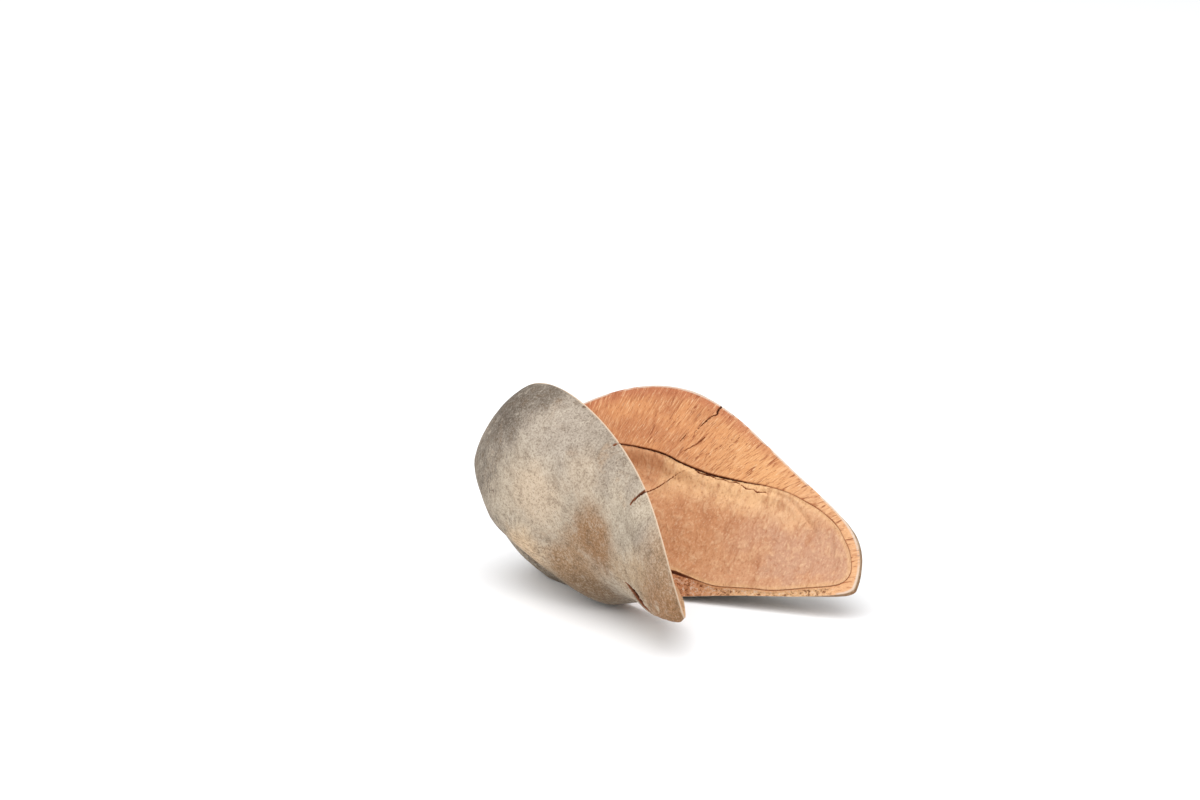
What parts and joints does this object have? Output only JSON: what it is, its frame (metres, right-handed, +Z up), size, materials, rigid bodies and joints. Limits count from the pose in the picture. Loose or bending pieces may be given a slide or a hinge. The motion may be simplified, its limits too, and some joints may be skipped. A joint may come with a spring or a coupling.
{
  "type": "woody pear pod",
  "caption": "Woody, pear-shaped seed pod split from its tip to its stalk end, with gaping halves that show the seed bed; it lies on a flat spot.",
  "frame": {"origin": "on the surface the pod lies on, under the middle of its bounding box", "axes": "+Z up from the surface; seen along +Y from the front, with +X to the right, the near half shows its skin and the far half its inner face"},
  "size_m": [0.0808, 0.083, 0.0456],
  "materials": {
    "pod_wood": "weathered"
  },
  "bodies": {
    "root": {"woody_pear_pod": "pod_wood"}
  },
  "joints": []
}
